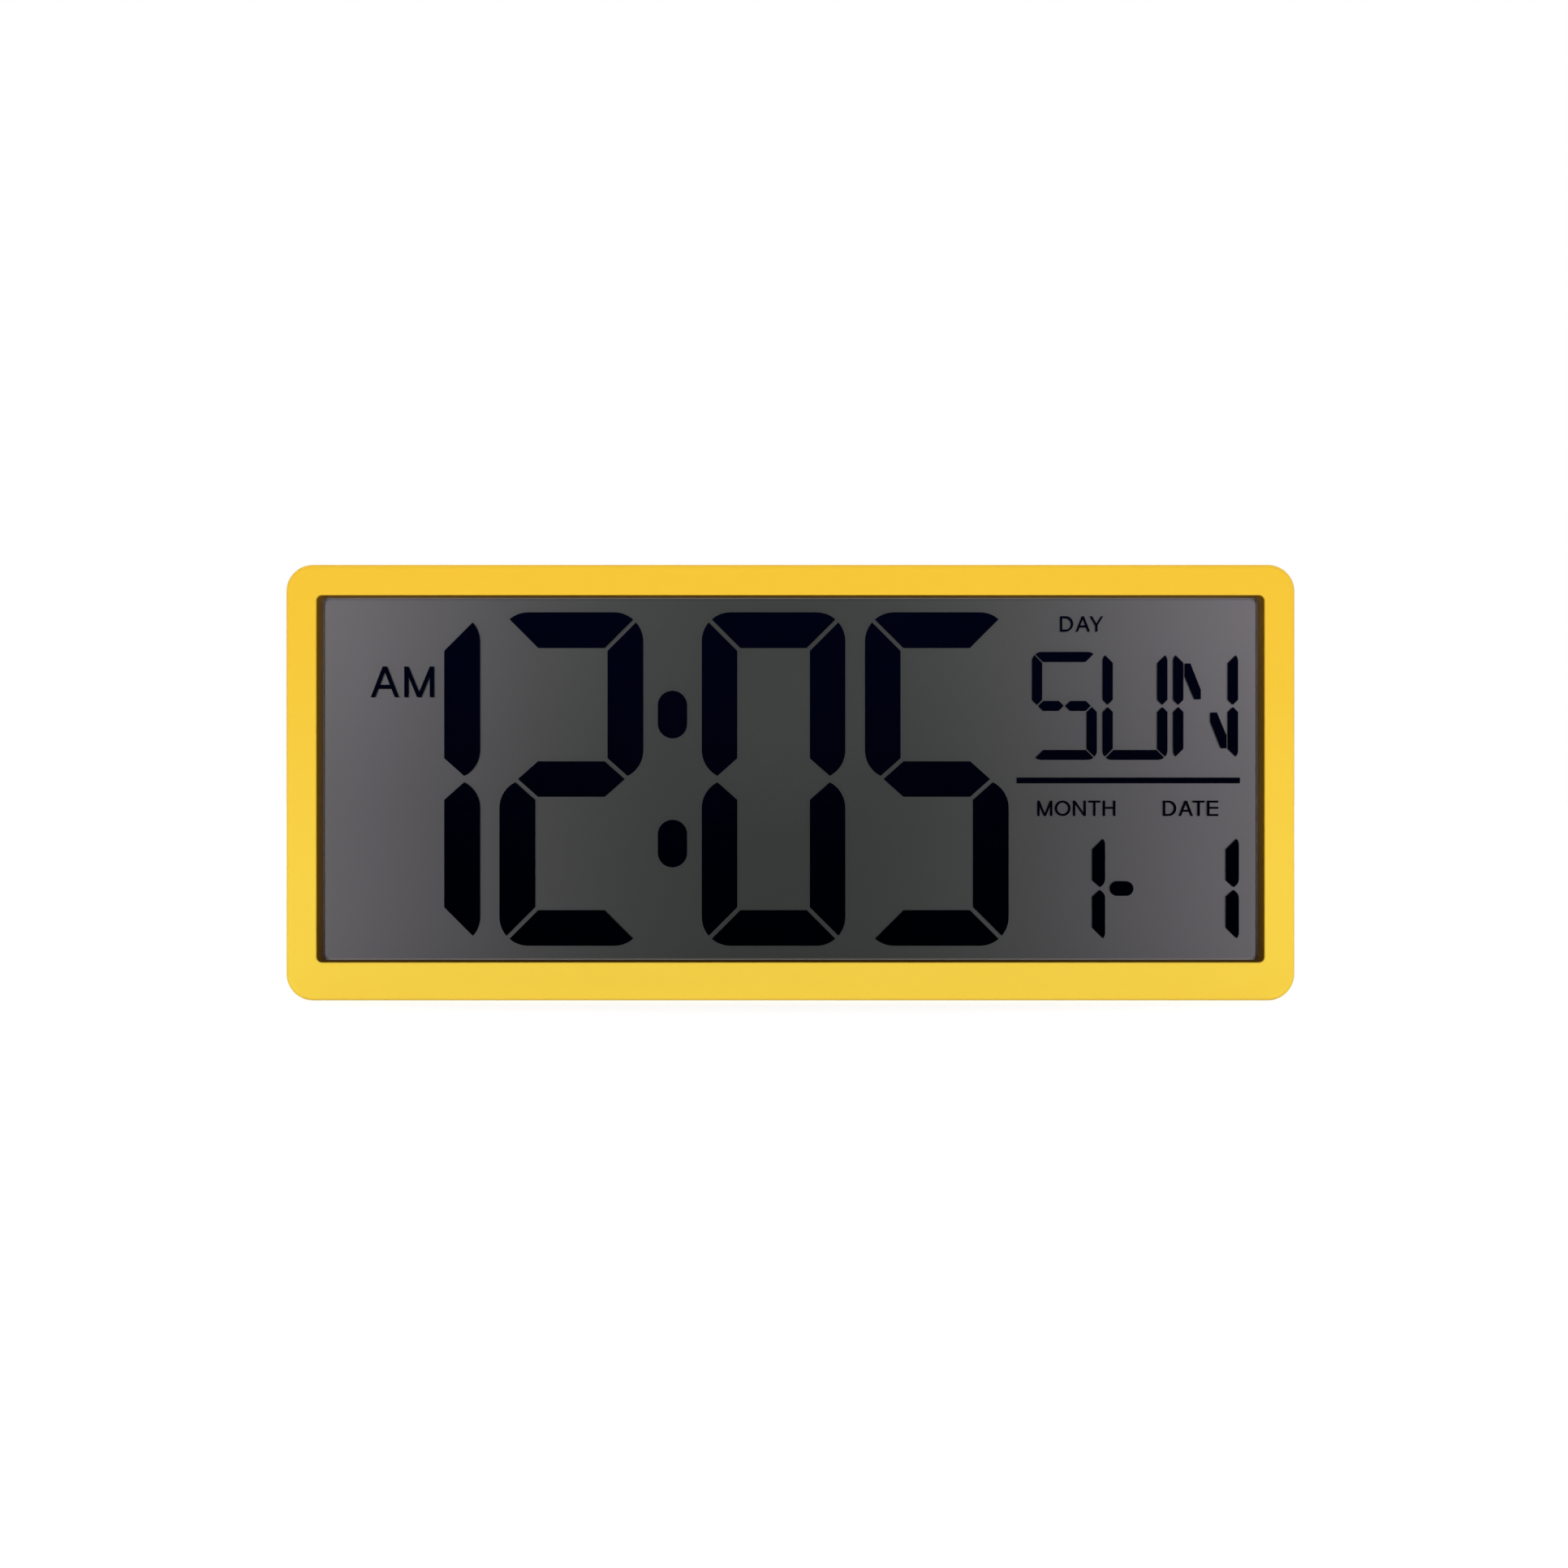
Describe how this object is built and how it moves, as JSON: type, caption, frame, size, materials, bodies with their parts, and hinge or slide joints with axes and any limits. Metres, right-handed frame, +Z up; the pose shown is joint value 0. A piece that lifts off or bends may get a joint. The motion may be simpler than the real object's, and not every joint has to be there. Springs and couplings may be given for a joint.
{
  "type": "digital wall clock",
  "caption": "Wide digital wall clock: a yellow frame with a deep window round a grey liquid crystal display, and a back with keyholes, a battery door, keys and fold-out legs.",
  "frame": {"origin": "middle of the back's wall plane, halfway up the housing", "axes": "+X to the right seen from the front, +Y from the front into the wall, +Z up"},
  "size_m": [0.361, 0.034, 0.156],
  "materials": {
    "yellow_plastic": "moulded, fine matt grain",
    "dark_plastic": "moulded, matt",
    "pale_plastic": "moulded, matt",
    "display_film": "clear film, slightly matt",
    "display_glass": "clear",
    "display_ink": "dark figures",
    "reflecting_film": "grey, softly reflecting",
    "gasket_rubber": "soft",
    "steel": "zinc plated",
    "board_green": "solder mask",
    "chip_black": "sealing resin",
    "capacitor_sleeve": "printed sleeve",
    "ribbon_film": "polyimide film",
    "cell_sleeve": "plain sleeve",
    "lead_red": "insulation",
    "lead_black": "insulation"
  },
  "bodies": {
    "housing": {"front_frame": "yellow_plastic", "rear_cover": "yellow_plastic", "rear_cover_screws": "steel", "stand_hinge_pins": "steel", "lcd_gasket": "gasket_rubber", "lcd_front_polariser": "display_film", "lcd_front_glass": "display_glass", "lcd_seal": "pale_plastic", "lcd_time_digits": "display_ink", "lcd_colon": "display_ink", "lcd_am_mark": "display_ink", "lcd_day_characters": "display_ink", "lcd_divider_bar": "display_ink", "lcd_calendar_labels": "display_ink", "lcd_date_digits": "display_ink", "lcd_date_dash": "display_ink", "lcd_rear_glass": "display_glass", "lcd_reflector": "reflecting_film", "lcd_clamp_frame": "dark_plastic", "lcd_clamp_screws": "steel", "lcd_ribbon": "ribbon_film", "circuit_board": "board_green", "circuit_board_screws": "steel", "clock_chip": "chip_black", "quartz_crystal": "steel", "filter_capacitor": "capacitor_sleeve", "chip_resistors": "chip_black", "tactile_switches": "dark_plastic", "battery_cell_upper": "cell_sleeve", "battery_cell_lower": "cell_sleeve", "battery_springs": "steel", "battery_contact_plates": "steel", "battery_lead_red": "lead_red", "battery_lead_black": "lead_black"},
    "battery_door": {"battery_door": "yellow_plastic"},
    "stand_leg_left": {"stand_leg_left": "yellow_plastic"},
    "stand_leg_right": {"stand_leg_right": "yellow_plastic"},
    "mode_key": {"mode_button": "dark_plastic", "mode_plunger": "pale_plastic"},
    "up_key": {"up_button": "dark_plastic", "up_plunger": "pale_plastic"},
    "down_key": {"down_button": "dark_plastic", "down_plunger": "pale_plastic"},
    "format_key": {"format_button": "dark_plastic", "format_plunger": "pale_plastic"}
  },
  "joints": [
    {"name": "battery_door_hinge", "type": "hinge", "parent": "housing", "child": "battery_door", "pos_m": [0, -0.0013, -0.01883], "axis": [-1, 0, 0], "range_deg": [0, 90]},
    {"name": "stand_leg_left_hinge", "type": "hinge", "parent": "housing", "child": "stand_leg_left", "pos_m": [-0.11, -0.0035, -0.0665], "axis": [-1, 0, 0], "range_deg": [0, 100]},
    {"name": "stand_leg_right_hinge", "type": "hinge", "parent": "housing", "child": "stand_leg_right", "pos_m": [0.11, -0.0035, -0.0665], "axis": [-1, 0, 0], "range_deg": [0, 100]},
    {"name": "mode_key_press", "type": "slide", "parent": "housing", "child": "mode_key", "axis": [0, -1, 0], "range_m": [0, 0.0006], "stiffness_N_per_m": 2500},
    {"name": "up_key_press", "type": "slide", "parent": "housing", "child": "up_key", "axis": [0, -1, 0], "range_m": [0, 0.0006], "stiffness_N_per_m": 2500},
    {"name": "down_key_press", "type": "slide", "parent": "housing", "child": "down_key", "axis": [0, -1, 0], "range_m": [0, 0.0006], "stiffness_N_per_m": 2500},
    {"name": "format_key_press", "type": "slide", "parent": "housing", "child": "format_key", "axis": [0, -1, 0], "range_m": [0, 0.0006], "stiffness_N_per_m": 2500}
  ]
}
